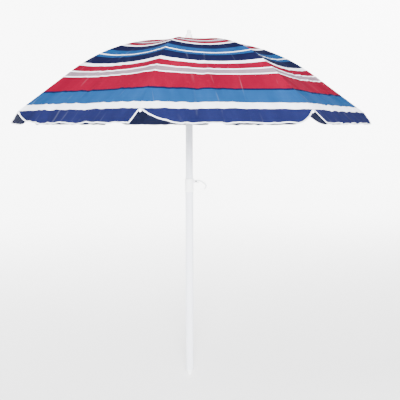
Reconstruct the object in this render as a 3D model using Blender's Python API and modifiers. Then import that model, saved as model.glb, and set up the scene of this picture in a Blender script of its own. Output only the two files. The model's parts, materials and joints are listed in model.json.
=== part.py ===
"""Beach umbrella, 1.6 m across the rib tips, standing open on its ground spike.

A two-part telescopic pole carries a crown with eight hinged ribs. Eight stretchers join the ribs to a
runner round the pole. Each stretcher is as long as the stretch of rib between the crown and its clip, and the
crown and the runner hold their pins at one radius, so a stretcher always mirrors its rib about the horizontal
and the runner stays on the pole's axis. The frame is in metres: +Z up the pole, the spike's tip at the origin,
+X towards the hook of the height lock.
"""

from math import asin, cos, pi, radians, sin, sqrt, tan

import bmesh
import bpy
from mathutils import Matrix, Vector

# Driving dimensions.
RIBS = 8
RIB_PHASE = radians(-112.5)  # azimuth of rib_1, from +X, so that the hook is midway between two ribs
SECTOR = 2 * pi / RIBS
TIP_R = 0.800  # radius of the circle of rib tips
APEX_Z = 1.634  # cloth on the pole's axis
ROUND = 32  # sides of the large round pieces
GAP = 0.0003  # between pieces that touch

# Canopy profile along a rib: level, then an arc, then straight down to the tip.
LEVEL_R = 0.084
BEND_R = 0.822
TIP_SLOPE = radians(36.8)
ARC_END_R = LEVEL_R + BEND_R * sin(TIP_SLOPE)
SAG = 0.017  # how far a gore sinks between two ribs, at most
CLOTH = 0.0008
VALANCE = 0.070
VALANCE_SLOPE = radians(48)
CORNER_SPAN = 0.110  # length of hem over which the valance's end curves up to the rib
SEAM = 0.0003  # from each half gore's edge to the seam or fold line

# Rib, stretcher and their pins.
RIB_DROP = 0.008  # rib's centre line below the cloth
ROD_R = 0.0025
STRETCHER_R = 0.0022
PIN_R = 0.029  # radius of both rings of pins
RING_WIRE_R = 0.0010
EYE_R, EYE_HOLE_R, EYE_THICK = 0.0036, 0.0014, 0.0042
CLIP_AT_R = 0.325
CLIP_DROP = 0.009  # clip's pivot below the rib's centre line
CLIP_PIN_R = 0.0011
SLOT = 0.0058
HUB_R, HUB_HALF = 0.036, 0.006
GROOVE_R, GROOVE_HALF = 0.0268, 0.0016

# Pole.
UPPER_R, LOWER_R, WALL = 0.0175, 0.0190, 0.0012
SPIKE_LENGTH = 0.030
LOWER_TOP_Z = 0.958
UPPER_BOTTOM_Z = 0.568
COLLAR_BOTTOM_Z, COLLAR_TOP_Z = 0.931, 0.996
COLLAR_R, COLLAR_RIM_R = 0.0208, 0.0222
LOCK_Z = 0.981
LOCK_R = 0.004  # screw shank
BOSS_R, BOSS_END = 0.0078, 0.0255
CATCH_R = 0.0034
CATCH_OUT = 0.0032  # how far the catch stands out of the pole
RUNNER_BORE_R = 0.0185
SLEEVE_R = 0.0232
SLEEVE_ABOVE, SLEEVE_BELOW = 0.016, 0.036

WHITE_STEEL = ("white_painted_steel", (0.87, 0.88, 0.91), 0.32, 0.0)
WHITE_PLASTIC = ("white_plastic", (0.90, 0.91, 0.93), 0.40, 0.0)
BARE_STEEL = ("bare_steel", (0.45, 0.46, 0.48), 0.35, 1.0)
GREY_STEEL = ("grey_steel", (0.60, 0.61, 0.63), 0.38, 1.0)
CLOTH_NAVY = ("striped_cloth", (0.06, 0.08, 0.24), 0.85, 0.0)


def cloth_drop(r):
    """How far the cloth over a rib lies below the apex at radius r, and its slope there."""
    if r <= LEVEL_R:
        return 0.0, 0.0
    if r < ARC_END_R:
        slope = asin((r - LEVEL_R) / BEND_R)
        return BEND_R * (1 - cos(slope)), slope
    return BEND_R * (1 - cos(TIP_SLOPE)) + (r - ARC_END_R) * tan(TIP_SLOPE), TIP_SLOPE


def rib_point(r):
    """Rib's centre line in its own radial plane: x outwards and z up, in the frame."""
    drop, slope = cloth_drop(r)
    return Vector((r - RIB_DROP * sin(slope), 0, APEX_Z - drop - RIB_DROP * cos(slope)))


TIP_DROP = cloth_drop(TIP_R)[0]
HINGE = Vector((PIN_R, 0, APEX_Z - RIB_DROP))
CLIP_SLOPE = cloth_drop(CLIP_AT_R)[1]
CLIP_CENTRE = rib_point(CLIP_AT_R)
CLIP_PIVOT = CLIP_CENTRE - CLIP_DROP * Vector((sin(CLIP_SLOPE), 0, cos(CLIP_SLOPE)))
RUNNER_PIN = Vector((PIN_R, 0, 2 * CLIP_PIVOT.z - HINGE.z))
APEX = Vector((0, 0, APEX_Z))
CATCH_Z = RUNNER_PIN.z - SLEEVE_BELOW - CATCH_R - 0.0006


def start():
    """Clears the scene and returns the collection of the pieces and that of the cutters."""
    for obj in list(bpy.data.objects):
        bpy.data.objects.remove(obj, do_unlink=True)
    made = []
    for name in ("beach_umbrella", "cutters"):
        made.append(bpy.data.collections.new(name))
        bpy.context.scene.collection.children.link(made[-1])
    return made


PIECES, CUTTERS = start()


def material(spec):
    name, colour, roughness, metallic = spec
    found = bpy.data.materials.get(name)
    if found:
        return found
    made = bpy.data.materials.new(name)
    made.use_nodes = True
    shader = made.node_tree.nodes["Principled BSDF"]
    shader.inputs["Base Color"].default_value = (*colour, 1)
    shader.inputs["Roughness"].default_value = roughness
    shader.inputs["Metallic"].default_value = metallic
    return made


def add(name, mesh, spec=None, parent=None, location=(0, 0, 0)):
    """A mesh or curve as an object: a piece if it has a material spec, otherwise a hidden cutter."""
    obj = bpy.data.objects.new(name, mesh)
    (PIECES if spec else CUTTERS).objects.link(obj)
    if spec and not mesh.materials:
        mesh.materials.append(material(spec))
    if not spec:
        obj.hide_render = True
        obj.display_type = "WIRE"
    obj.parent = parent
    obj.location = location
    return obj


def joint_empty(name, parent=None, location=(0, 0, 0), turn=0.0):
    """An empty on a joint's axis, which the pieces of one body hang on."""
    empty = bpy.data.objects.new(name, None)
    PIECES.objects.link(empty)
    empty.empty_display_size = 0.03
    empty.parent = parent
    empty.location = location
    empty.rotation_euler.z = turn
    return empty


def to_mesh(bm, name):
    mesh = bpy.data.meshes.new(name)
    bm.to_mesh(mesh)
    bm.free()
    return mesh


def shaded(mesh):
    mesh.shade_smooth()
    mesh.set_sharp_from_angle(angle=radians(35))
    return mesh


def cylinder_mesh(name, radius, length, axis="Z", sides=16, end=None):
    """A closed cylinder along an axis, starting at end (a point on the axis) or centred on the origin."""
    bm = bmesh.new()
    bmesh.ops.create_cone(
        bm, cap_ends=True, segments=sides, radius1=radius, radius2=radius, depth=length
    )
    if end is not None:
        bmesh.ops.translate(bm, verts=bm.verts, vec=(0, 0, length / 2))
    turn = {"X": Matrix.Rotation(pi / 2, 4, "Y"), "Y": Matrix.Rotation(-pi / 2, 4, "X"), "Z": Matrix()}[axis]
    bmesh.ops.transform(bm, matrix=turn, verts=bm.verts)
    if end is not None:
        bmesh.ops.translate(bm, verts=bm.verts, vec=end)
    return to_mesh(bm, name)


def box_mesh(name, size, centre=(0, 0, 0), slope=0.0, bevel=0.0):
    """A box turned by slope about Y, with its edges bevelled."""
    bm = bmesh.new()
    bmesh.ops.create_cube(bm, size=1)
    bmesh.ops.scale(bm, vec=size, verts=bm.verts)
    if bevel:
        bmesh.ops.bevel(bm, geom=bm.edges[:], offset=bevel, segments=1, affect="EDGES")
    place = Matrix.Translation(centre) @ Matrix.Rotation(slope, 4, "Y")
    bmesh.ops.transform(bm, matrix=place, verts=bm.verts)
    return to_mesh(bm, name)


def torus_mesh(name, major, minor, around=ROUND, across=6):
    """A ring of round wire about Z: a circle of the wire's section, turned round."""
    bm = bmesh.new()
    ring = [
        bm.verts.new((major + minor * cos(2 * pi * i / across), 0, minor * sin(2 * pi * i / across)))
        for i in range(across)
    ]
    edges = [bm.edges.new((ring[i], ring[(i + 1) % across])) for i in range(across)]
    bmesh.ops.spin(
        bm, geom=ring + edges, cent=(0, 0, 0), axis=(0, 0, 1), angle=2 * pi, steps=around, use_merge=True
    )
    bmesh.ops.remove_doubles(bm, verts=bm.verts, dist=1e-6)
    bmesh.ops.recalc_face_normals(bm, faces=bm.faces)
    return to_mesh(bm, name)


def turned(name, profile, sides=ROUND, closed=False, turn=0.0):
    """A mesh turned about Z from a profile of (radius, z), listed down its outer side."""
    bm = bmesh.new()
    points = [bm.verts.new((r * cos(turn), r * sin(turn), z)) for r, z in profile]
    pairs = list(zip(points, points[1:] + points[:1])) if closed else list(zip(points, points[1:]))
    for pair in pairs:
        bm.edges.new(pair)
    obj = add(name + "_profile", to_mesh(bm, name + "_profile"))
    screw = obj.modifiers.new("turn", "SCREW")
    screw.steps = screw.render_steps = sides
    screw.use_merge_vertices = True
    screw.merge_threshold = 0.00002
    return evaluated(obj, name)


def evaluated(obj, name):
    """The object's mesh with its modifiers applied, as a new mesh; the object is removed."""
    bpy.context.view_layer.update()
    graph = bpy.context.evaluated_depsgraph_get()
    mesh = bpy.data.meshes.new_from_object(obj.evaluated_get(graph))
    mesh.name = name
    mesh.transform(obj.matrix_world)
    bpy.data.objects.remove(obj, do_unlink=True)
    bm = bmesh.new()
    bm.from_mesh(mesh)
    bmesh.ops.remove_doubles(bm, verts=bm.verts, dist=1e-6)
    bm.to_mesh(mesh)
    bm.free()
    return mesh


def combined(name, base, steps):
    """The base mesh after a list of (operation, mesh) Booleans."""
    obj = add(name + "_base", base)
    tools = []
    for number, (operation, mesh) in enumerate(steps):
        tool = add(f"{name}_tool_{number}", mesh)
        cut = obj.modifiers.new(operation.lower(), "BOOLEAN")
        cut.operation = operation
        cut.object = tool
        tools.append(tool)
    made = evaluated(obj, name)
    for tool in tools:
        bpy.data.objects.remove(tool, do_unlink=True)
    return made


def rod_mesh(name, points, radius, resolution=1):
    """A round rod through the points, with closed ends."""
    curve = bpy.data.curves.new(name, "CURVE")
    curve.dimensions = "3D"
    curve.bevel_depth = radius
    curve.bevel_resolution = resolution
    curve.use_fill_caps = True
    spline = curve.splines.new("POLY")
    spline.points.add(len(points) - 1)
    for target, point in zip(spline.points, points):
        target.co = (*point, 1)
    return evaluated(add(name + "_curve", curve), name)


def eye_mesh(name, hole):
    """A flat eye about the Y axis with a hole through it."""
    return combined(
        name,
        cylinder_mesh(name, EYE_R, EYE_THICK, "Y", 14),
        [("DIFFERENCE", cylinder_mesh(name + "_hole", hole, 3 * EYE_THICK, "Y", 12))],
    )


def radial_slots(name, inner, low, high):
    """Eight radial boxes, one on each rib's azimuth, to cut slots outwards from radius inner."""
    bm = bmesh.new()
    length = 0.03
    for k in range(RIBS):
        made = bmesh.ops.create_cube(bm, size=1)["verts"]
        place = (
            Matrix.Rotation(RIB_PHASE + k * SECTOR, 4, "Z")
            @ Matrix.Translation((inner + length / 2, 0, (low + high) / 2))
            @ Matrix.Diagonal((length, SLOT, high - low, 1))
        )
        bmesh.ops.transform(bm, matrix=place, verts=made)
    return to_mesh(bm, name)


def lower_pole():
    """The lower tube, its ground spike and the plastic collar at its mouth."""
    inner = LOWER_R - WALL
    tube = [(LOWER_R, LOWER_TOP_Z), (LOWER_R, SPIKE_LENGTH), (inner, SPIKE_LENGTH), (inner, LOWER_TOP_Z)]
    add("lower_tube", shaded(turned("lower_tube", tube, closed=True)), WHITE_STEEL)
    plug = inner - GAP
    spike = [
        (0, SPIKE_LENGTH + 0.045),
        (plug - 0.001, SPIKE_LENGTH + 0.045),
        (plug, SPIKE_LENGTH + 0.043),
        (plug, SPIKE_LENGTH - GAP),
        (0.0182, SPIKE_LENGTH - GAP),
        (0.0175, SPIKE_LENGTH - 0.004),
        (0.0030, 0.002),
        (0.0015, 0.0),
        (0, 0.0),
    ]
    add("ground_spike", shaded(turned("ground_spike", spike)), WHITE_PLASTIC)


def pole_collar():
    """The collar clamps over the lower tube's mouth; its boss carries the lock screw above the mouth."""
    over, round_upper = LOWER_R + GAP, UPPER_R + GAP
    shoulder = LOWER_TOP_Z + GAP
    rim = 0.004
    profile = [
        (COLLAR_RIM_R - 0.001, COLLAR_TOP_Z),
        (COLLAR_RIM_R, COLLAR_TOP_Z - 0.001),
        (COLLAR_RIM_R, COLLAR_TOP_Z - rim),
        (COLLAR_R, COLLAR_TOP_Z - rim - 0.001),
        (COLLAR_R, COLLAR_BOTTOM_Z + 0.019),
        (COLLAR_RIM_R, COLLAR_BOTTOM_Z + 0.018),
        (COLLAR_RIM_R, COLLAR_BOTTOM_Z + 0.013),
        (COLLAR_R, COLLAR_BOTTOM_Z + 0.012),
        (COLLAR_R, COLLAR_BOTTOM_Z),
        (over, COLLAR_BOTTOM_Z),
        (over, shoulder),
        (round_upper, shoulder),
        (round_upper, COLLAR_TOP_Z),
    ]
    boss_start = UPPER_R + 0.0015
    boss = cylinder_mesh("boss", BOSS_R, BOSS_END - boss_start, "X", 20, (boss_start, 0, LOCK_Z))
    hole = cylinder_mesh("hole", LOCK_R + 0.0002, 0.03, "X", 16, (0.010, 0, LOCK_Z))
    mesh = combined(
        "pole_collar",
        turned("collar_body", profile, closed=True),
        [("UNION", boss), ("DIFFERENCE", hole)],
    )
    add("pole_collar", shaded(mesh), WHITE_PLASTIC)


def height_lock():
    """The clamp screw through the collar's boss and the plastic hook that turns it."""
    screw_start, head_start, screw_end = UPPER_R + GAP, 0.0362, 0.0440
    screw = joint_empty("lock_screw_joint", location=(0, 0, LOCK_Z))
    shank = cylinder_mesh("lock_screw", LOCK_R, screw_end - screw_start, "X", 16, (screw_start, 0, 0))
    add("lock_screw", shaded(shank), BARE_STEEL, screw)
    turn = joint_empty("lock_hook_joint", screw)
    head = cylinder_mesh("head", 0.0085, 0.0105, "X", 18, (head_start, 0, 0))
    socket = cylinder_mesh("socket", LOCK_R + GAP, 0.0140, "X", 16, (head_start - 0.0055, 0, 0))
    # The hook leaves the head, rises a little, and curls over and down.
    path = [(0.041, 0.002), (0.0475, 0.0035), (0.055, 0.0015), (0.063, -0.0025), (0.070, -0.0075)]
    path += [(0.0765, -0.0135), (0.081, -0.0205), (0.082, -0.028), (0.078, -0.0345), (0.072, -0.0375)]
    bar = rod_mesh("bar", [(x, 0, z) for x, z in path], 0.0040, 2)
    mesh = combined("lock_hook", head, [("UNION", bar), ("DIFFERENCE", socket)])
    add("lock_hook", shaded(mesh), WHITE_PLASTIC, turn)


def upper_pole():
    """The upper tube, the crown plugged into its top, the crown's ring wire and the finial."""
    pole = joint_empty("upper_pole_joint")
    inner, top = UPPER_R - WALL, HINGE.z - HUB_HALF - GAP
    tube = [(UPPER_R, top), (UPPER_R, UPPER_BOTTOM_Z), (inner, UPPER_BOTTOM_Z), (inner, top)]
    hole = cylinder_mesh("catch_hole", CATCH_R + GAP, 0.02, "X", 14, (0.008, 0, CATCH_Z))
    mesh = combined("upper_tube", turned("upper", tube, closed=True), [("DIFFERENCE", hole)])
    add("upper_tube", shaded(mesh), WHITE_STEEL, pole)
    plug, stud = inner - GAP, 0.0035
    crown = [
        (stud, HINGE.z + HUB_HALF),
        *pulley(HINGE.z),
        (plug, HINGE.z - HUB_HALF),
        (plug, HINGE.z - HUB_HALF - 0.028),
        (stud, HINGE.z - HUB_HALF - 0.028),
    ]
    slots = radial_slots("crown_slots", 0.0228, HINGE.z - 0.02, HINGE.z + 0.02)
    mesh = combined(
        "crown", turned("crown_body", crown, closed=True, turn=RIB_PHASE), [("DIFFERENCE", slots)]
    )
    add("crown", shaded(mesh), WHITE_PLASTIC, pole)
    ring = add("crown_ring_wire", shaded(ring_wire()), BARE_STEEL, pole, (0, 0, HINGE.z))
    ring.rotation_euler.z = RIB_PHASE
    base = APEX_Z + 0.0012
    finial = [
        (0, base + 0.0545),
        (0.0050, base + 0.0532),
        (0.0087, base + 0.0495),
        (0.0100, base + 0.0445),
        (0.0087, base + 0.0395),
        (0.0066, base + 0.0365),
        (0.0095, base + 0.0345),
        (0.0140, base + 0.0320),
        (0.0162, base + 0.0270),
        (0.0165, base + 0.0120),
        (0.0172, base + 0.0015),
        (0.0168, base),
        (stud - GAP, base),
        (stud - GAP, HINGE.z - 0.024),
        (0, HINGE.z - 0.024),
    ]
    add("finial", shaded(turned("finial", finial, 24)), WHITE_PLASTIC, pole)
    return pole


def pulley(z):
    """Outer side of a slotted disc at height z, with the groove that its ring wire lies in."""
    return [
        (HUB_R - 0.001, z + HUB_HALF),
        (HUB_R, z + HUB_HALF - 0.001),
        (HUB_R, z + GROOVE_HALF),
        (GROOVE_R, z + GROOVE_HALF),
        (GROOVE_R, z - GROOVE_HALF),
        (HUB_R, z - GROOVE_HALF),
        (HUB_R, z - HUB_HALF + 0.001),
        (HUB_R - 0.001, z - HUB_HALF),
    ]


def ring_wire():
    return bpy.data.meshes.get("ring_wire") or torus_mesh("ring_wire", PIN_R, RING_WIRE_R)


def runner_catch(pole):
    """The sprung catch under the open runner: a round nose through the pole's wall, with a flange inside."""
    catch = joint_empty("runner_catch_joint", pole, (UPPER_R, 0, CATCH_Z))
    flange_r, inside = CATCH_R + 0.0016, -WALL - 0.0009
    nose = [
        (0, CATCH_OUT),
        (CATCH_R - 0.0010, CATCH_OUT),
        (CATCH_R, CATCH_OUT - 0.0010),
        (CATCH_R, inside),
        (flange_r, inside),
        (flange_r, inside - 0.0016),
        (0, inside - 0.0016),
    ]
    mesh = turned("runner_catch", nose, 14)
    mesh.transform(Matrix.Rotation(pi / 2, 4, "Y"))
    add("runner_catch", shaded(mesh), BARE_STEEL, catch)


def runner():
    """The sliding collar with slots for the stretchers, level with their lower pins, and its ring wire."""
    z, top, bottom = RUNNER_PIN.z, RUNNER_PIN.z + SLEEVE_ABOVE, RUNNER_PIN.z - SLEEVE_BELOW
    profile = [
        (SLEEVE_R - 0.0008, top),
        (SLEEVE_R, top - 0.0008),
        (SLEEVE_R, z + HUB_HALF),
        *pulley(z),
        (SLEEVE_R, z - HUB_HALF),
        (SLEEVE_R, bottom + 0.006),
        (SLEEVE_R + 0.0028, bottom + 0.003),
        (SLEEVE_R + 0.0022, bottom),
        (RUNNER_BORE_R, bottom),
        (RUNNER_BORE_R, top),
    ]
    slots = radial_slots("runner_slots", 0.0236, z - HUB_HALF - 0.002, z + HUB_HALF + 0.002)
    # A groove in the bore lets the runner pass the catch.
    reach = UPPER_R + CATCH_OUT + 0.0005
    groove = box_mesh("groove", (0.010, 2 * CATCH_R + 0.001, 0.2), (reach - 0.005, 0, z))
    mesh = combined(
        "runner",
        turned("runner_body", profile, closed=True, turn=RIB_PHASE),
        [("DIFFERENCE", slots), ("DIFFERENCE", groove)],
    )
    body = joint_empty("runner_joint")
    add("runner", shaded(mesh), WHITE_PLASTIC, body)
    ring = add("runner_ring_wire", ring_wire(), BARE_STEEL, body, (0, 0, z))
    ring.rotation_euler.z = RIB_PHASE


def rib_mesh():
    """A bent steel rod with an eye about the crown's wire, in its radial plane, from its hinge."""
    stations = [PIN_R + 0.0024, LEVEL_R]
    bends = 9
    stations += [LEVEL_R + BEND_R * sin(TIP_SLOPE * i / bends) for i in range(1, bends + 1)]
    stations += [0.69, TIP_R]
    centres = [rib_point(r) for r in stations]
    # Straight through the clip.
    along = Vector((cos(CLIP_SLOPE), 0, -sin(CLIP_SLOPE)))
    centres = [p for p in centres if abs(p.x - CLIP_CENTRE.x) > 0.012]
    centres += [CLIP_CENTRE - along * 0.008, CLIP_CENTRE + along * 0.008]
    centres.sort(key=lambda p: p.x)
    rod = rod_mesh("rod", [p - HINGE for p in centres], ROD_R)
    return shaded(combined("rib", eye_mesh("rib_eye", EYE_HOLE_R), [("UNION", rod)]))


def stretcher_mesh():
    """A straight rod with an eye at each end, from the clip's pivot to the runner's wire."""
    reach = RUNNER_PIN - CLIP_PIVOT
    along = reach.normalized()
    rod = rod_mesh("strut", [along * 0.0024, reach - along * 0.0024], STRETCHER_R)
    far_eye = eye_mesh("far_eye", EYE_HOLE_R)
    far_eye.transform(Matrix.Translation(reach))
    steps = [("UNION", rod), ("UNION", far_eye)]
    return shaded(combined("stretcher", eye_mesh("near_eye", EYE_HOLE_R), steps))


def clip_mesh():
    """A steel clip crimped round the rib, with two ears and a riveted pin for the stretcher, from its pivot."""
    centre = CLIP_CENTRE - CLIP_PIVOT
    height = CLIP_DROP + 0.0078
    middle = centre * 0.5 + Vector((0, 0, 0.0002))
    size = (0.0110, 0.0094, height)
    block = box_mesh("clip_block", size, middle, CLIP_SLOPE, 0.0008)
    bore = cylinder_mesh("clip_bore", ROD_R + GAP, 0.04, "X", 16)
    bore.transform(Matrix.Translation(centre) @ Matrix.Rotation(CLIP_SLOPE, 4, "Y"))
    slot_size = (0.03, EYE_THICK + 2 * GAP, CLIP_DROP)
    slot_middle = centre.normalized() * (CLIP_DROP / 2 - 0.0045)
    slot = box_mesh("clip_slot", slot_size, slot_middle, CLIP_SLOPE)
    pin = cylinder_mesh("clip_pin", CLIP_PIN_R, 0.0085, "Y", 10)
    steps = [("DIFFERENCE", bore), ("DIFFERENCE", slot), ("UNION", pin)]
    return shaded(combined("rib_clip", block, steps))


def tip_mesh():
    """A plastic cap pushed on the rib's end, from the tip, along the rib."""
    back, over, r = 0.030, 0.008, ROD_R + GAP
    profile = [
        (0, over),
        (0.0034, over - 0.0010),
        (0.0050, over - 0.0040),
        (0.0048, over - 0.0100),
        (0.0042, over - 0.0140),
        (0.0040, -back),
        (r, -back),
        (r, GAP),
        (0, GAP),
    ]
    mesh = turned("rib_tip", profile, 12)
    mesh.transform(Matrix.Rotation(pi / 2 + TIP_SLOPE, 4, "Y"))
    return shaded(mesh)


def gore_point(r, across):
    """Cloth of a gore: r is where its stripe meets the rib, across runs from 0 on the rib to 1 on the fold
    between two ribs. In the rib's own axes: x outwards, y towards the fold, z up."""
    half = SECTOR / 2
    drop = cloth_drop(r)[0]
    run = max(0.0, (r - LEVEL_R) / (TIP_R - LEVEL_R))
    sag = SAG * sin(pi * run) ** 2 * (1 - (1 - across) ** 2)
    middle = r * cos(half)
    x = r + (middle * cos(half) - r) * across
    return Vector((x, middle * sin(half) * across, APEX_Z - drop - sag))


def valance_drop(across):
    """Length of the valance below a point of the rim: full in the middle, curving up to the rib."""
    run = (1 - across) * TIP_R * sin(SECTOR / 2)
    from_rib = TIP_R * sin(SECTOR / 2) - run
    if from_rib >= CORNER_SPAN:
        return VALANCE
    lift = 1 - from_rib / CORNER_SPAN
    return VALANCE * sqrt(max(0.0, 1 - lift**2.6))


def half_gore_mesh(side):
    """Half a gore with its half of the valance, on the rib's left (side 1) or right (side -1)."""
    radii = [0.012, LEVEL_R]
    radii += [LEVEL_R + BEND_R * sin(TIP_SLOPE * i / 6) for i in range(1, 7)] + [0.69, TIP_R]
    columns = 5
    outward = Vector((cos(SECTOR / 2), sin(SECTOR / 2), 0))
    hang = cos(VALANCE_SLOPE) * outward + Vector((0, 0, -sin(VALANCE_SLOPE)))
    bm = bmesh.new()
    rows = []
    for r in radii:
        rows.append([gore_point(r, i / columns) for i in range(columns + 1)])
    for depth in (0.5, 1.0):
        # Only a sliver of cloth at the rib itself, so that every quad keeps an area.
        rows.append(
            [
                rows[len(radii) - 1][i] + hang * depth * max(0.004, valance_drop(i / columns))
                for i in range(columns + 1)
            ]
        )
    seam_shift = Vector((0, SEAM, 0))
    fold_shift = SEAM * Vector((sin(SECTOR / 2), -cos(SECTOR / 2), 0))
    for row in rows:
        row[0] = row[0] + seam_shift
        row[-1] = row[-1] + fold_shift
    grid = [
        [bm.verts.new(((p - APEX).x, (p - APEX).y * side, (p - APEX).z)) for p in row] for row in rows
    ]
    for a, b in zip(grid, grid[1:]):
        for i in range(columns):
            corners = (a[i], b[i], b[i + 1], a[i + 1])
            bm.faces.new(corners if side > 0 else corners[::-1])
    sheet = add("half_gore_sheet", to_mesh(bm, "half_gore_sheet"))
    thicken = sheet.modifiers.new("cloth", "SOLIDIFY")
    thicken.thickness = CLOTH
    thicken.offset = -1
    return evaluated(sheet, "half_gore_left" if side > 0 else "half_gore_right")


def canopy_frame(pole):
    """The eight ribs with their clips, tips, stretchers and cloth, each hung on its joint."""
    rib, stretcher, clip, tip = rib_mesh(), stretcher_mesh(), clip_mesh(), tip_mesh()
    left, right = half_gore_mesh(1), half_gore_mesh(-1)
    for k in range(RIBS):
        number = k + 1
        azimuth = RIB_PHASE + k * SECTOR
        turn = Matrix.Rotation(azimuth, 3, "Z")
        hinge = joint_empty(f"rib_joint_{number}", pole, turn @ HINGE, azimuth)
        add(f"rib_{number}", rib, GREY_STEEL, hinge)
        add(f"rib_clip_{number}", clip, BARE_STEEL, hinge, CLIP_PIVOT - HINGE)
        add(f"rib_tip_{number}", tip, WHITE_PLASTIC, hinge, rib_point(TIP_R) - HINGE)
        pivot = joint_empty(f"stretcher_joint_{number}", hinge, CLIP_PIVOT - HINGE)
        add(f"stretcher_{number}", stretcher, GREY_STEEL, pivot)
        for side, mesh in (("left", left), ("right", right)):
            cloth = joint_empty(f"half_gore_{side}_joint_{number}", hinge, APEX - HINGE)
            add(f"half_gore_{side}_{number}", mesh, CLOTH_NAVY, cloth)


def main():
    lower_pole()
    pole_collar()
    height_lock()
    pole = upper_pole()
    runner_catch(pole)
    runner()
    canopy_frame(pole)


main()
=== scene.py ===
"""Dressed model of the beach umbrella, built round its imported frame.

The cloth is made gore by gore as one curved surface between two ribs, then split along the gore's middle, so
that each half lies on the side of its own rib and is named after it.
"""

import json
from math import cos, pi, radians, sin, tan

import bpy
import numpy as np
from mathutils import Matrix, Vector


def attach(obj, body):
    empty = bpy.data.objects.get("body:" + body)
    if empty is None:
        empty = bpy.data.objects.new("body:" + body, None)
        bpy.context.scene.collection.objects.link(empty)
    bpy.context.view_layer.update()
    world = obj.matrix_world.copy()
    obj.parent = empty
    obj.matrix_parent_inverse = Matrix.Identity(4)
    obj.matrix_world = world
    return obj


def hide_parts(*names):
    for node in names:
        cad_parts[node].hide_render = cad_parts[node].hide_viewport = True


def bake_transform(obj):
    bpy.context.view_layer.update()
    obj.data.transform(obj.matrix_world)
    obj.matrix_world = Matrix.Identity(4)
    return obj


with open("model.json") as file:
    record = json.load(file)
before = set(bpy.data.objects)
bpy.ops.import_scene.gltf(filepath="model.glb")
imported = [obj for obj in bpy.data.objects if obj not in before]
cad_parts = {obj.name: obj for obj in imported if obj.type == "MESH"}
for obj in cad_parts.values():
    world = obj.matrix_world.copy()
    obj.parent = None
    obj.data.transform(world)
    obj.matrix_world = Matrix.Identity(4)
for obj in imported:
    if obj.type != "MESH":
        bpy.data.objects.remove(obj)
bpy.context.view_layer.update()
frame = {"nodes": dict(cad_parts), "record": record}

# The frame's dimensions, in metres.
RIBS = 8
SECTOR = 2 * pi / RIBS
RIB_PHASE = radians(-112.5)
TIP_R = 0.800
APEX_Z = 1.634
LEVEL_R = 0.084
BEND_R = 0.822
TIP_SLOPE = radians(36.8)
ARC_END_R = LEVEL_R + BEND_R * sin(TIP_SLOPE)
SAG = 0.017
HALF_HEM = TIP_R * sin(SECTOR / 2)
VALANCE = 0.070
VALANCE_SLOPE = radians(48)

# Cloth.
CLOTH = 0.0006
INNER_R = 0.030
SEAM_HALF = 0.0035
WEAVE_PITCH = 0.0008
STITCH_PITCH = 0.0034
COLUMNS = 64
INNER_ROWS = 42
OUTER_ROWS = 38
SPLIT_R = 0.50  # the rows are closer together outside this radius
VALANCE_ROWS = 13
# Length of hem over which a gore's valance curves up to its two ribs. The other gores' lengths vary.
SHAPED_CORNERS = {
    0: (0.165, 0.100),
    1: (0.006, 0.060),
    2: (0.030, 0.120),
    3: (0.170, 0.050),
    6: (0.060, 0.240),
    7: (0.200, 0.006),
}
BINDING = 0.0048

WHITE = (0.66, 0.68, 0.76)
NAVY = (0.0070, 0.0088, 0.0380)
# A darker copy of NAVY for the canopy's navy bands: painted shade.
NAVY_WITH_PAINTED_SHADE = (0.0038, 0.0048, 0.0210)
BLUE = (0.0074, 0.0350, 0.1050)
RED = (0.1150, 0.0014, 0.0125)
GREY = (0.150, 0.105, 0.130)
# Colour of the cloth from each share of the rib's radius outwards.
STRIPES = (
    (0.00, RED),
    (0.065, WHITE),
    (0.080, NAVY_WITH_PAINTED_SHADE),
    (0.115, WHITE),
    (0.128, RED),
    (0.334, WHITE),
    (0.341, GREY),
    (0.370, RED),
    (0.412, WHITE),
    (0.433, NAVY_WITH_PAINTED_SHADE),
    (0.504, BLUE),
    (0.555, WHITE),
    (0.562, BLUE),
    (0.590, NAVY_WITH_PAINTED_SHADE),
    (0.652, WHITE),
    (0.677, RED),
    (0.720, WHITE),
    (0.727, GREY),
    (0.757, WHITE),
    (0.762, RED),
    (0.866, NAVY_WITH_PAINTED_SHADE),
    (0.876, BLUE),
    (0.961, WHITE),
    (0.996, NAVY),
)


def camera():
    """The camera stands in front, a little below the rim, and looks slightly down past the pole."""
    distance, height, azimuth = 2.586, 1.240, radians(-100.78)
    pitch, yaw = radians(7.70), radians(-1.14)
    data = bpy.data.cameras.new("camera")
    data.lens = 48.45
    data.sensor_width = 36
    obj = bpy.data.objects.new("camera", data)
    bpy.context.scene.collection.objects.link(obj)
    obj.location = (distance * cos(azimuth), distance * sin(azimuth), height)
    heading = azimuth + pi + yaw
    forward = Vector((cos(heading) * cos(pitch), sin(heading) * cos(pitch), -sin(pitch)))
    obj.rotation_euler = forward.to_track_quat("-Z", "Y").to_euler()
    bpy.context.scene.camera = obj


def cloth_drop(r):
    """How far the cloth over a rib lies below the apex, at radii r."""
    r = np.asarray(r, float)
    arc = BEND_R - np.sqrt(np.maximum(BEND_R**2 - (r - LEVEL_R) ** 2, 0))
    straight = BEND_R * (1 - cos(TIP_SLOPE)) + (r - ARC_END_R) * tan(TIP_SLOPE)
    return np.where(r <= LEVEL_R, 0, np.where(r < ARC_END_R, arc, straight))


def fibre_length(r):
    """Length along a rib's cloth from the apex to radii r, as a table lookup."""
    table = np.linspace(0, TIP_R, 801)
    steps = np.hypot(np.diff(table), np.diff(cloth_drop(table)))
    return np.interp(r, table, np.concatenate(([0], np.cumsum(steps))))


FULL_LENGTH = float(fibre_length(TIP_R))


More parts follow.
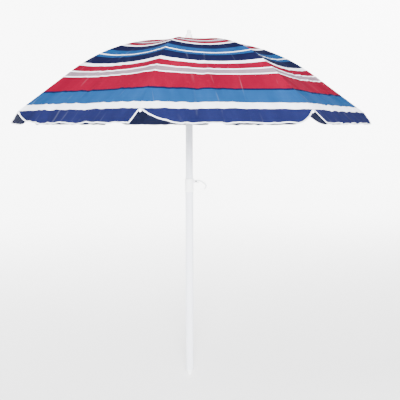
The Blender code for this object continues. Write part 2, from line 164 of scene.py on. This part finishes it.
class Nodes:
    """Shorthand for building one material's node tree."""

    def __init__(self, name):
        self.material = bpy.data.materials.new(name)
        self.material.use_nodes = True
        self.tree = self.material.node_tree
        self.shader = self.tree.nodes["Principled BSDF"]

    def add(self, kind, **settings):
        node = self.tree.nodes.new(kind)
        for name, value in settings.items():
            setattr(node, name, value)
        return node

    def link(self, source, target):
        self.tree.links.new(source, target)

    def put(self, node, name, value):
        """A number, a colour or another node's output into a node's input."""
        if isinstance(value, bpy.types.NodeSocket):
            self.link(value, node.inputs[name])
        else:
            node.inputs[name].default_value = value

    def math(self, operation, a, b=0.0, clamp=False):
        node = self.add("ShaderNodeMath", operation=operation, use_clamp=clamp)
        self.put(node, 0, a)
        self.put(node, 1, b)
        return node.outputs[0]

    def noise(self, vector, scale, detail=4.0, roughness=0.5):
        node = self.add("ShaderNodeTexNoise")
        self.put(node, "Vector", vector)
        self.put(node, "Scale", scale)
        self.put(node, "Detail", detail)
        self.put(node, "Roughness", roughness)
        return node.outputs["Fac"]

    def stretch(self, vector, scale, turn=0.0, shift=0.0):
        node = self.add("ShaderNodeMapping")
        self.put(node, "Vector", vector)
        node.inputs["Location"].default_value = (shift, shift, 0)
        node.inputs["Rotation"].default_value = (0, 0, turn)
        node.inputs["Scale"].default_value = scale
        return node.outputs[0]

    def ramp(self, value, stops, interpolation="LINEAR"):
        node = self.add("ShaderNodeValToRGB")
        node.color_ramp.interpolation = interpolation
        elements = node.color_ramp.elements
        while len(elements) > 1:
            elements.remove(elements[-1])
        for number, (position, colour) in enumerate(stops):
            element = elements[0] if number == 0 else elements.new(position)
            element.position = position
            element.color = (*colour, 1)
        self.put(node, "Fac", value)
        return node.outputs["Color"]

    def mix(self, factor, a, b, blend="MIX"):
        node = self.add("ShaderNodeMix", data_type="RGBA", blend_type=blend)
        self.put(node, 0, factor)
        self.put(node, 6, a if isinstance(a, bpy.types.NodeSocket) else (*a, 1))
        self.put(node, 7, b if isinstance(b, bpy.types.NodeSocket) else (*b, 1))
        return node.outputs[2]

    def range(self, value, low, high):
        node = self.add("ShaderNodeMapRange")
        self.put(node, "Value", value)
        self.put(node, "To Min", low)
        self.put(node, "To Max", high)
        return node.outputs[0]

    def bump(self, height, distance, strength=1.0, under=None):
        node = self.add("ShaderNodeBump")
        self.put(node, "Height", height)
        node.inputs["Distance"].default_value = distance
        node.inputs["Strength"].default_value = strength
        if under is not None:
            self.link(under, node.inputs["Normal"])
        return node.outputs[0]


def weave(nodes, uv, pitch):
    """Height of a plain weave with this thread pitch, from a map in metres."""
    split = nodes.add("ShaderNodeSeparateXYZ")
    nodes.link(uv, split.inputs[0])
    across = nodes.math("SINE", nodes.math("MULTIPLY", split.outputs[0], pi / pitch))
    along = nodes.math("SINE", nodes.math("MULTIPLY", split.outputs[1], pi / pitch))
    return nodes.math("MULTIPLY", across, along)


def sharp_creases(nodes, uv):
    """1 on the long fold lines left from packing the cloth, 0 between them. They lean both ways."""
    lines = []
    for lean, shift in ((0.55, 0.0), (-0.45, 31.0)):
        field = nodes.noise(nodes.stretch(uv, (7, 0.45, 1), lean, shift), 1.0, 0.0)
        off = nodes.math("ABSOLUTE", nodes.math("SUBTRACT", field, 0.46))
        line = nodes.math("SUBTRACT", 1.0, nodes.math("MULTIPLY", off, 90.0), clamp=True)
        patches = nodes.noise(nodes.stretch(uv, (5, 5, 1)), 1.0 + lean, 1.0)
        worn = nodes.math("MULTIPLY", nodes.math("SUBTRACT", patches, 0.50), 6.0, clamp=True)
        lines.append(nodes.math("MULTIPLY", line, worn))
    return nodes.math("MAXIMUM", *lines)


def cloth_material():
    """Striped woven polyester: u is metres from the rib, v is metres down the cloth from the apex."""
    nodes = Nodes("striped_polyester")
    uv = nodes.add("ShaderNodeUVMap", uv_map="cloth").outputs[0]
    split = nodes.add("ShaderNodeSeparateXYZ")
    nodes.link(uv, split.inputs[0])
    whole = FULL_LENGTH + VALANCE
    share = nodes.math("DIVIDE", split.outputs[1], whole)
    stops = [(float(fibre_length(s * TIP_R)) / whole, colour) for s, colour in STRIPES]
    stripes = nodes.ramp(share, stops, "CONSTANT")
    # Yarn-to-yarn variation along each stripe, and broad slanting light and dark bands that are painted
    # shade and painted highlight of soft folds.
    yarns = nodes.noise(nodes.stretch(uv, (6, 900, 1)), 1.0, 2.0)
    painted_fold_shade = nodes.noise(nodes.stretch(uv, (13, 2.5, 1), 0.55), 1.0, 3.0)
    # The tone multiplies the stripes by the yarn variation and by this painted fold shade and highlight.
    tone = nodes.math("ADD", nodes.range(yarns, -0.10, 0.10), nodes.range(painted_fold_shade, 0.62, 1.38))
    grey = nodes.add("ShaderNodeCombineColor")
    for channel in range(3):
        nodes.link(tone, grey.inputs[channel])
    toned = nodes.mix(1.0, stripes, grey.outputs[0], "MULTIPLY")
    creases = sharp_creases(nodes, uv)
    pale = nodes.mix(nodes.math("MULTIPLY", creases, 0.045), toned, (0.50, 0.54, 0.62))
    nodes.link(pale, nodes.shader.inputs["Base Color"])
    rough = nodes.range(nodes.noise(nodes.stretch(uv, (40, 40, 1)), 1.0, 3.0), 0.80, 0.95)
    nodes.link(rough, nodes.shader.inputs["Roughness"])
    crumple = nodes.noise(nodes.stretch(uv, (14, 9, 1)), 1.0, 4.0, 0.45)
    soft = nodes.bump(creases, 0.0006, 0.5, nodes.bump(crumple, 0.0060, 0.6))
    nodes.link(nodes.bump(weave(nodes, uv, WEAVE_PITCH), 0.00005, 0.6, soft), nodes.shader.inputs["Normal"])
    nodes.shader.inputs["Sheen Weight"].default_value = 0.004
    nodes.shader.inputs["Sheen Roughness"].default_value = 0.45
    nodes.shader.inputs["Specular IOR Level"].default_value = 0.002
    return nodes.material


def dark_inside_material():
    """The cloth's inner side: plain dark navy over the weave."""
    nodes = Nodes("dark_navy_inside")
    uv = nodes.add("ShaderNodeUVMap", uv_map="cloth").outputs[0]
    cloud = nodes.noise(nodes.stretch(uv, (5, 5, 1)), 1.0, 4.0)
    colour = nodes.ramp(cloud, ((0.2, (0.0050, 0.0065, 0.0200)), (0.8, (0.0095, 0.0120, 0.0340))))
    nodes.link(colour, nodes.shader.inputs["Base Color"])
    nodes.link(nodes.range(cloud, 0.84, 0.96), nodes.shader.inputs["Roughness"])
    nodes.link(nodes.bump(weave(nodes, uv, WEAVE_PITCH), 0.00004, 0.6), nodes.shader.inputs["Normal"])
    nodes.shader.inputs["Specular IOR Level"].default_value = 0.02
    return nodes.material


def binding_material():
    """White bias binding with a row of stitches: u is metres along it, v is metres across it."""
    nodes = Nodes("white_binding")
    uv = nodes.add("ShaderNodeUVMap", uv_map="cloth").outputs[0]
    split = nodes.add("ShaderNodeSeparateXYZ")
    nodes.link(uv, split.inputs[0])
    period = nodes.math("FRACT", nodes.math("DIVIDE", split.outputs[0], STITCH_PITCH))
    dash = nodes.math("LESS_THAN", period, 0.72)
    offset = nodes.math("ABSOLUTE", nodes.math("SUBTRACT", split.outputs[1], 0.0018))
    line = nodes.math("MULTIPLY", nodes.math("LESS_THAN", offset, 0.00045), dash)
    # The stitch dashes are painted darker than the binding: painted shade in the sunk stitch line.
    colour = nodes.mix(line, (0.58, 0.60, 0.66), (0.36, 0.38, 0.44))
    nodes.link(colour, nodes.shader.inputs["Base Color"])
    nodes.shader.inputs["Roughness"].default_value = 0.72
    nodes.shader.inputs["Sheen Weight"].default_value = 0.2
    slanting = nodes.math("ADD", split.outputs[0], split.outputs[1])
    twill = nodes.math("SINE", nodes.math("MULTIPLY", slanting, 5200))
    height = nodes.math("SUBTRACT", nodes.math("MULTIPLY", twill, 0.25), line)
    nodes.link(nodes.bump(height, 0.0002, 0.6), nodes.shader.inputs["Normal"])
    return nodes.material


def enamel_material():
    """White enamelled tube: nearly smooth, with a faint orange peel and scuffs along the pole."""
    nodes = Nodes("white_enamel")
    place = nodes.add("ShaderNodeTexCoord").outputs["Object"]
    scuffs = nodes.noise(nodes.stretch(place, (60, 60, 4)), 1.0, 6.0, 0.6)
    scuffed, worn, clean = (0.60, 0.62, 0.69), (0.68, 0.70, 0.77), (0.72, 0.74, 0.80)
    colour = nodes.ramp(scuffs, ((0.0, scuffed), (0.38, worn), (1.0, clean)))
    nodes.link(colour, nodes.shader.inputs["Base Color"])
    nodes.link(nodes.range(scuffs, 0.22, 0.42), nodes.shader.inputs["Roughness"])
    peel = nodes.noise(place, 260.0, 2.0)
    nodes.link(nodes.bump(peel, 0.00012, 0.25), nodes.shader.inputs["Normal"])
    nodes.shader.inputs["Coat Weight"].default_value = 0.4
    nodes.shader.inputs["Coat Roughness"].default_value = 0.12
    return nodes.material


def plastic_material():
    """Moulded white polypropylene with a fine grain; this material is opaque, though the real plastic is
    slightly translucent.
    """
    nodes = Nodes("white_plastic")
    place = nodes.add("ShaderNodeTexCoord").outputs["Object"]
    cloud = nodes.noise(place, 35.0, 3.0)
    colour = nodes.ramp(cloud, ((0.0, (0.84, 0.85, 0.88)), (1.0, (0.92, 0.93, 0.95))))
    nodes.link(colour, nodes.shader.inputs["Base Color"])
    nodes.link(nodes.range(nodes.noise(place, 420.0, 3.0), 0.30, 0.46), nodes.shader.inputs["Roughness"])
    nodes.link(nodes.bump(nodes.noise(place, 1500.0, 2.0), 0.00008, 0.3), nodes.shader.inputs["Normal"])
    return nodes.material


def steel_material(name, dark, light, roughness):
    """Drawn steel with dull spots."""
    nodes = Nodes(name)
    place = nodes.add("ShaderNodeTexCoord").outputs["Object"]
    spots = nodes.noise(place, 140.0, 5.0, 0.6)
    nodes.link(nodes.ramp(spots, ((0.3, dark), (0.7, light))), nodes.shader.inputs["Base Color"])
    nodes.shader.inputs["Metallic"].default_value = 1.0
    nodes.link(nodes.range(spots, roughness + 0.15, roughness - 0.06), nodes.shader.inputs["Roughness"])
    nodes.link(nodes.bump(nodes.noise(place, 900.0, 2.0), 0.00005, 0.3), nodes.shader.inputs["Normal"])
    return nodes.material


def floor_material():
    """Plain pale paper."""
    nodes = Nodes("studio_floor")
    place = nodes.add("ShaderNodeTexCoord").outputs["Object"]
    cloud = nodes.noise(place, 1.3, 2.0)
    tone = nodes.ramp(cloud, ((0.0, (0.900, 0.900, 0.900)), (1.0, (0.915, 0.915, 0.915))))
    nodes.link(tone, nodes.shader.inputs["Base Color"])
    nodes.shader.inputs["Roughness"].default_value = 0.9
    nodes.shader.inputs["Specular IOR Level"].default_value = 0.1
    return nodes.material


CLOTH_LOOK = cloth_material()
DARK_INSIDE = dark_inside_material()
BINDING_LOOK = binding_material()
ENAMEL = enamel_material()
PLASTIC = plastic_material()
RIB_STEEL = steel_material("zinc_steel", (0.42, 0.43, 0.45), (0.62, 0.63, 0.65), 0.38)
PIN_STEEL = steel_material("bare_steel", (0.15, 0.15, 0.17), (0.27, 0.27, 0.29), 0.40)


def mesh_object(name, points, faces, look, uv=None, inside=None):
    """A mesh from numpy points and a list of faces; uv gives a map value for every point.

    inside is (first, last, look) for the faces of a shell's inner side.
    """
    mesh = bpy.data.meshes.new(name)
    mesh.from_pydata([tuple(p) for p in points], [], faces)
    mesh.materials.append(look)
    if uv is not None:
        layer = mesh.uv_layers.new(name="cloth")
        corner = np.empty(len(mesh.loops), np.int32)
        mesh.loops.foreach_get("vertex_index", corner)
        layer.data.foreach_set("uv", np.asarray(uv, np.float32)[corner].ravel())
    if inside is not None:
        first, last, inner_look = inside
        mesh.materials.append(inner_look)
        for face in mesh.polygons[first:last]:
            face.material_index = 1
    mesh.shade_smooth()
    mesh.set_sharp_from_angle(angle=radians(50))
    mesh.update()
    obj = bpy.data.objects.new(name, mesh)
    bpy.context.scene.collection.objects.link(obj)
    return obj


def grid_normals(grid):
    """Unit normals of a grid of points, with rows outwards and columns anticlockwise."""
    down = np.gradient(grid, axis=0)
    across = np.gradient(grid, axis=1)
    normal = np.cross(down, across)
    return normal / np.maximum(np.linalg.norm(normal, axis=2, keepdims=True), 1e-12)


def shell(grid, normals, thickness):
    """Points and faces of a closed sheet of this thickness about a grid.

    The faces are the outer ones, the inner ones, then the rim.
    """
    rows, width = grid.shape[:2]
    top = (grid + normals * thickness / 2).reshape(-1, 3)
    bottom = (grid - normals * thickness / 2).reshape(-1, 3)
    half = rows * width
    corners = [i * width + j for i in range(rows - 1) for j in range(width - 1)]
    faces = [(a, a + width, a + width + 1, a + 1) for a in corners]
    faces += [(half + a, half + a + 1, half + a + width + 1, half + a + width) for a in corners]
    rim = list(range(width))
    rim += [i * width + width - 1 for i in range(1, rows)]
    rim += [(rows - 1) * width + j for j in range(width - 2, -1, -1)]
    rim += [i * width for i in range(rows - 2, 0, -1)]
    for a, b in zip(rim, rim[1:] + rim[:1]):
        faces.append((a, b, half + b, half + a))
    return np.concatenate([top, bottom]), faces


class Gore:
    """Cloth between rib k and rib k + 1. t runs from -1 on rib k to 1 on rib k + 1."""

    def __init__(self, number):
        self.number = number
        self.middle = RIB_PHASE + (number + 0.5) * SECTOR
        draw = np.random.default_rng(40 + number)
        self.waves = [
            (draw.uniform(0.6, 1.0), draw.uniform(0.10, 0.17), draw.uniform(0, 2 * pi)) for _ in range(3)
        ]
        self.creases = [
            (draw.uniform(-0.9, 0.9), draw.uniform(-0.8, 0.8), draw.uniform(0.4, 1.0), draw.choice([-1, 1]))
            for _ in range(11)
        ]
        self.folds = [
            (draw.uniform(-0.27, 0.27), draw.uniform(-0.3, 0.3), draw.uniform(0.3, 1), draw.choice([-1, 1]))
            for _ in range(8)
        ]
        # Length of hem over which each end of the valance curves up to its rib.
        self.corners = SHAPED_CORNERS.get(number, tuple(draw.uniform(0.035, 0.075, 2)))

    def to_world(self, x, y, z):
        c, s = cos(self.middle), sin(self.middle)
        return np.stack([x * c - y * s, x * s + y * c, z + 0 * x], -1)

    def relief(self, r, t):
        """Small rise and fall of the main cloth: seams at the ribs, puckers, tension lines and creases."""
        y = r * sin(SECTOR / 2) * t
        from_rib = r * sin(SECTOR / 2) * (1 - np.abs(t))
        run = np.clip((r - LEVEL_R) / (TIP_R - LEVEL_R), 0, 1)
        seam = 0.0007 * np.exp(-((from_rib / SEAM_HALF) ** 4))
        pucker = 0.0005 * np.sin(2 * pi * r / 0.034 + 3 * self.number) * np.exp(-from_rib / 0.022)
        pucker = pucker * (1 - np.exp(-((from_rib / 0.004) ** 2))) * run
        # Tension lines fan out from each rib tip.
        out = TIP_R - r
        angle = np.arctan2(from_rib, out + 0.02)
        fan = 0.0006 * np.sin(angle * 19 + self.number) * np.exp(-np.hypot(from_rib, out) / 0.16)
        fan = fan * np.clip(from_rib / 0.02, 0, 1)
        crease = 0 * y
        for place, lean, strength, sign in self.creases:
            line = y - place * 0.27 - lean * (TIP_R - r)
            crease = crease + sign * 0.0026 * strength * np.exp(-((line / 0.011) ** 2)) * run**2
        hem = 0.0006 * np.sin(2 * pi * y / 0.087 + self.number) * np.exp(-out / 0.05)
        return seam + pucker + fan + (crease + hem) * np.clip(from_rib / 0.03, 0, 1)

    def main(self, r, t):
        """Points of the main cloth where its stripe meets the rib at radius r."""
        x = r * cos(SECTOR / 2) + 0 * t
        y = r * sin(SECTOR / 2) * t
        run = np.clip((r - LEVEL_R) / (TIP_R - LEVEL_R), 0, 1)
        sag = SAG * np.sin(pi * run) ** 2 * (1 - t * t)
        return self.to_world(x, y, APEX_Z - CLOTH - cloth_drop(r) - sag + self.relief(r, t))

    def valance(self, y, depth):
        """Points of the valance at distance y from the gore's middle and depth below the rim."""
        t = y / HALF_HEM
        base = self.main(TIP_R + 0 * y, t)
        share = depth / VALANCE
        sway = 0 * y
        for strength, length, phase in self.waves:
            sway = sway + 0.0011 * strength * np.sin(2 * pi * y / length + phase)
        for place, lean, strength, sign in self.folds:
            line = y - place - lean * depth
            sway = sway + sign * 0.0030 * strength * np.exp(-((line / 0.011) ** 2))
        sway = sway * share * np.sqrt(np.clip((1 - np.abs(t)) / 0.12, 0, 1))
        curl = 0.004 * share**2
        out = depth * cos(VALANCE_SLOPE) + (sway + curl) * sin(VALANCE_SLOPE)
        down = depth * sin(VALANCE_SLOPE) - (sway + curl) * cos(VALANCE_SLOPE)
        c, s = cos(self.middle), sin(self.middle)
        return base + np.stack([out * c, out * s, -down], -1)

    def edge_depth(self, t):
        """Depth of the valance's edge: full in the middle, rounded up to each rib."""
        from_rib = HALF_HEM * (1 - np.abs(t))
        span = np.where(t < 0, *self.corners)
        lift = np.clip(1 - from_rib / span, 0, 1)
        wave = 0.0005 * np.sin(2 * pi * t * HALF_HEM / 0.071 + 2 * self.number)
        wave = wave * np.clip(from_rib / 0.1, 0, 1)
        return np.maximum(VALANCE * (1 - lift ** np.clip(26 * span, 1, 2.8)) + wave, 0.0012)


def columns(side):
    """Places t across a half gore, closer together near its rib. side is 1 on the rib's left, else -1."""
    steps = np.linspace(0, 1, COLUMNS)
    from_rib = 0.45 * steps + 0.55 * steps**2
    return -1 + from_rib if side > 0 else 1 - from_rib[::-1]


def half_gore(gore, rib, side):
    """One half gore with its share of the valance and its binding, on the side of its rib."""
    label = "left" if side > 0 else "right"
    t = columns(side)
    inner_radii = np.linspace(INNER_R, SPLIT_R, INNER_ROWS)
    outer_radii = np.linspace(SPLIT_R, TIP_R, OUTER_ROWS + 1)[1:]
    radii = np.concatenate([inner_radii, outer_radii])
    r_grid, t_grid = np.meshgrid(radii, t, indexing="ij")
    main = gore.main(r_grid, t_grid)
    depths = np.linspace(0, 1, VALANCE_ROWS + 1)[1:]
    edge = gore.edge_depth(t)
    y = t * HALF_HEM
    lower = np.stack([gore.valance(y, edge * share) for share in depths])
    grid = np.concatenate([main, lower])
    # On the gore's middle the normals lie in the plane through the pole, so both halves have the same ones.
    normals = grid_normals(grid)
    middle_column = -1 if side > 0 else 0
    across = np.array([-sin(gore.middle), cos(gore.middle), 0])
    level = normals[:, middle_column].copy()
    level -= np.outer(level @ across, across)
    normals[:, middle_column] = level / np.linalg.norm(level, axis=1, keepdims=True)
    points, faces = shell(grid, normals, CLOTH)
    v = np.concatenate([fibre_length(radii), np.zeros(len(depths))])
    v_grid = np.repeat(v[:, None], len(t), 1)
    v_grid[len(radii):] = FULL_LENGTH + np.outer(depths, edge)
    u_grid = np.concatenate([r_grid * sin(SECTOR / 2) * t_grid, np.repeat(y[None], len(depths), 0)])
    uv = np.stack([u_grid.ravel() + 0.7 * gore.number, v_grid.ravel()], -1)
    name = f"gore_{label}_{rib}"
    count = (grid.shape[0] - 1) * (grid.shape[1] - 1)
    inside = (count, 2 * count, DARK_INSIDE)
    cloth = mesh_object(name, points, faces, CLOTH_LOOK, np.concatenate([uv, uv]), inside)
    trim = binding(gore, rib, side, label)
    for piece in (cloth, trim):
        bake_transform(piece)
    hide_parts(f"half_gore_{label}_{rib}")


def binding(gore, rib, side, label):
    """White tape folded over the valance's edge, from the gore's middle up to the rib."""
    t = columns(side)
    fine = np.interp(np.linspace(0, len(t) - 1, 150), np.arange(len(t)), t)
    y, depth = fine * HALF_HEM, gore.edge_depth(fine)
    # Inward direction in the valance's own plane, square to its edge.
    along = np.stack([np.gradient(y), np.gradient(depth)], -1)
    along /= np.linalg.norm(along, axis=1, keepdims=True)
    inward = np.stack([along[:, 1], -along[:, 0]], -1)
    width = np.minimum(BINDING, 0.55 * depth + 0.002)
    loop = ((1.0, 1), (0.55, 1), (0.12, 1), (-0.06, 0.55), (-0.06, -0.55), (0.12, -1), (0.55, -1), (1.0, -1))
    rings = []
    for share, height in loop:
        yy = y + inward[:, 0] * width * share
        dd = np.maximum(depth + inward[:, 1] * width * share, 0)
        here = gore.valance(yy, dd)
        step = 0.0006
        over = gore.valance(yy, dd + step) - gore.valance(yy, np.maximum(dd - step, 0))
        side_step = gore.valance(yy + step, dd) - gore.valance(yy - step, dd)
        normal = np.cross(over, side_step)
        normal /= np.linalg.norm(normal, axis=1, keepdims=True)
        rings.append(here + normal * height * (CLOTH / 2 + 0.0006))
    rings = np.stack(rings, 1)
    count, around = rings.shape[:2]
    faces = []
    for i in range(count - 1):
        for j in range(around):
            k = (j + 1) % around
            faces.append((i * around + j, i * around + k, (i + 1) * around + k, (i + 1) * around + j))
    faces.append(tuple(reversed(range(around))))
    faces.append(tuple((count - 1) * around + j for j in range(around)))
    lengths = np.concatenate([[0], np.cumsum(np.hypot(np.diff(y), np.diff(depth)))])
    across = np.array([abs(share) * BINDING for share, _ in loop])
    uv = np.stack(np.meshgrid(lengths, across, indexing="ij"), -1).reshape(-1, 2)
    uv = np.stack([uv[:, 0], BINDING - uv[:, 1]], -1)
    return mesh_object(f"binding_{label}_{rib}", rings.reshape(-1, 3), faces, BINDING_LOOK, uv)


def top_cap():
    """The round patch of cloth sewn over the ends of the gores, under the finial."""
    radii = np.concatenate([np.linspace(0.0045, 0.040, 12), [0.0435, 0.0450, 0.0456]])
    angles = np.linspace(0, 2 * pi, 97)
    r, a = np.meshgrid(radii, angles, indexing="ij")
    rim = np.clip((r - 0.043) / 0.0026, 0, 1)
    z = APEX_Z + 0.0007 - 0.0006 * rim + 0.0003 * np.sin(16 * a) * (r / 0.045) ** 3
    grid = np.stack([r * np.cos(a), r * np.sin(a), z], -1)
    normals = np.zeros_like(grid)
    normals[..., 2] = 1
    points, faces = shell(grid, normals, CLOTH)
    uv = np.stack([(r * a).ravel(), r.ravel()], -1)
    cap = mesh_object("top_cap", points, faces, CLOTH_LOOK, np.concatenate([uv, uv]))
    weld = cap.modifiers.new("weld", "WELD")
    weld.merge_threshold = 0.00001
    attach(cap, "upper_pole")


def dress_nodes():
    """Better materials and smooth shading on the CAD nodes that stay."""
    looks = {"pole_steel": ENAMEL, "white_plastic": PLASTIC, "rib_steel": RIB_STEEL, "pin_steel": PIN_STEEL}
    slots = {s["node"]: s["material_slot"] for s in frame["record"]["subparts"]}
    for name, obj in frame["nodes"].items():
        look = looks.get(slots[name])
        if look is None:
            continue
        obj.data.materials.clear()
        obj.data.materials.append(look)
        obj.data.shade_smooth()
        obj.data.set_sharp_from_angle(angle=radians(38))


def studio():
    """A shallow white bowl for floor and backdrop, a bright sky and soft lamps."""
    floor_r, curve = 7.0, 3.0
    profile = [(2.5, 0.0), (5.0, 0.0), (floor_r, 0.0)]
    profile += [(floor_r + curve * sin(a), curve - curve * cos(a)) for a in np.linspace(0.1, pi / 2, 14)]
    profile += [(floor_r + curve, 4.6)]
    turns = 64
    angles = [2 * pi * k / turns for k in range(turns)]
    points = [(r * cos(a), r * sin(a), z) for r, z in profile for a in angles]
    points.append((0, 0, 0))
    faces = []
    for i in range(len(profile) - 1):
        for k in range(turns):
            n = (k + 1) % turns
            faces.append((i * turns + k, i * turns + n, (i + 1) * turns + n, (i + 1) * turns + k))
    faces += [(len(points) - 1, k, (k + 1) % turns) for k in range(turns)]
    bowl = mesh_object("studio_bowl", points, faces, floor_material())
    world = bpy.data.worlds.new("studio")
    world.use_nodes = True
    sky = world.node_tree
    place = sky.nodes.new("ShaderNodeTexCoord")
    split = sky.nodes.new("ShaderNodeSeparateXYZ")
    fall = sky.nodes.new("ShaderNodeMapRange")
    for name, value in {"From Min": -1, "From Max": 1, "To Min": 2.9, "To Max": 1.5}.items():
        fall.inputs[name].default_value = value
    sky.links.new(place.outputs["Generated"], split.inputs[0])
    sky.links.new(split.outputs[0], fall.inputs["Value"])
    sky.links.new(fall.outputs[0], sky.nodes["Background"].inputs["Strength"])
    sky.nodes["Background"].inputs["Color"].default_value = (1, 1, 1, 1)
    bpy.context.scene.world = world
    lamp("key", (-0.8, -4.8, 2.3), (0, 0, 1.2), 1.6, 1080)
    lamp("fill", (-4.0, -2.0, 1.6), (0, 0, 1.2), 2.4, 20)
    for name, side in (("backdrop_left", -1), ("backdrop_right", 1)):
        lamp(name, (4 * side, 3.5, 5.5), (2.5 * side, 10, 2), 3.0, 2100)


def lamp(name, place, target, size, power):
    """A soft round lamp aimed at the target."""
    data = bpy.data.lights.new(name, "AREA")
    data.shape = "DISK"
    data.size = size
    data.energy = power
    obj = bpy.data.objects.new(name, data)
    bpy.context.scene.collection.objects.link(obj)
    obj.location = place
    obj.rotation_euler = (Vector(target) - Vector(place)).to_track_quat("-Z", "Y").to_euler()


def canopy():
    """Both halves of every gore, and the cap over their ends."""
    for number in range(RIBS):
        gore = Gore(number)
        half_gore(gore, number + 1, 1)
        half_gore(gore, (number + 1) % RIBS + 1, -1)
    top_cap()


camera()
canopy()
dress_nodes()
studio()
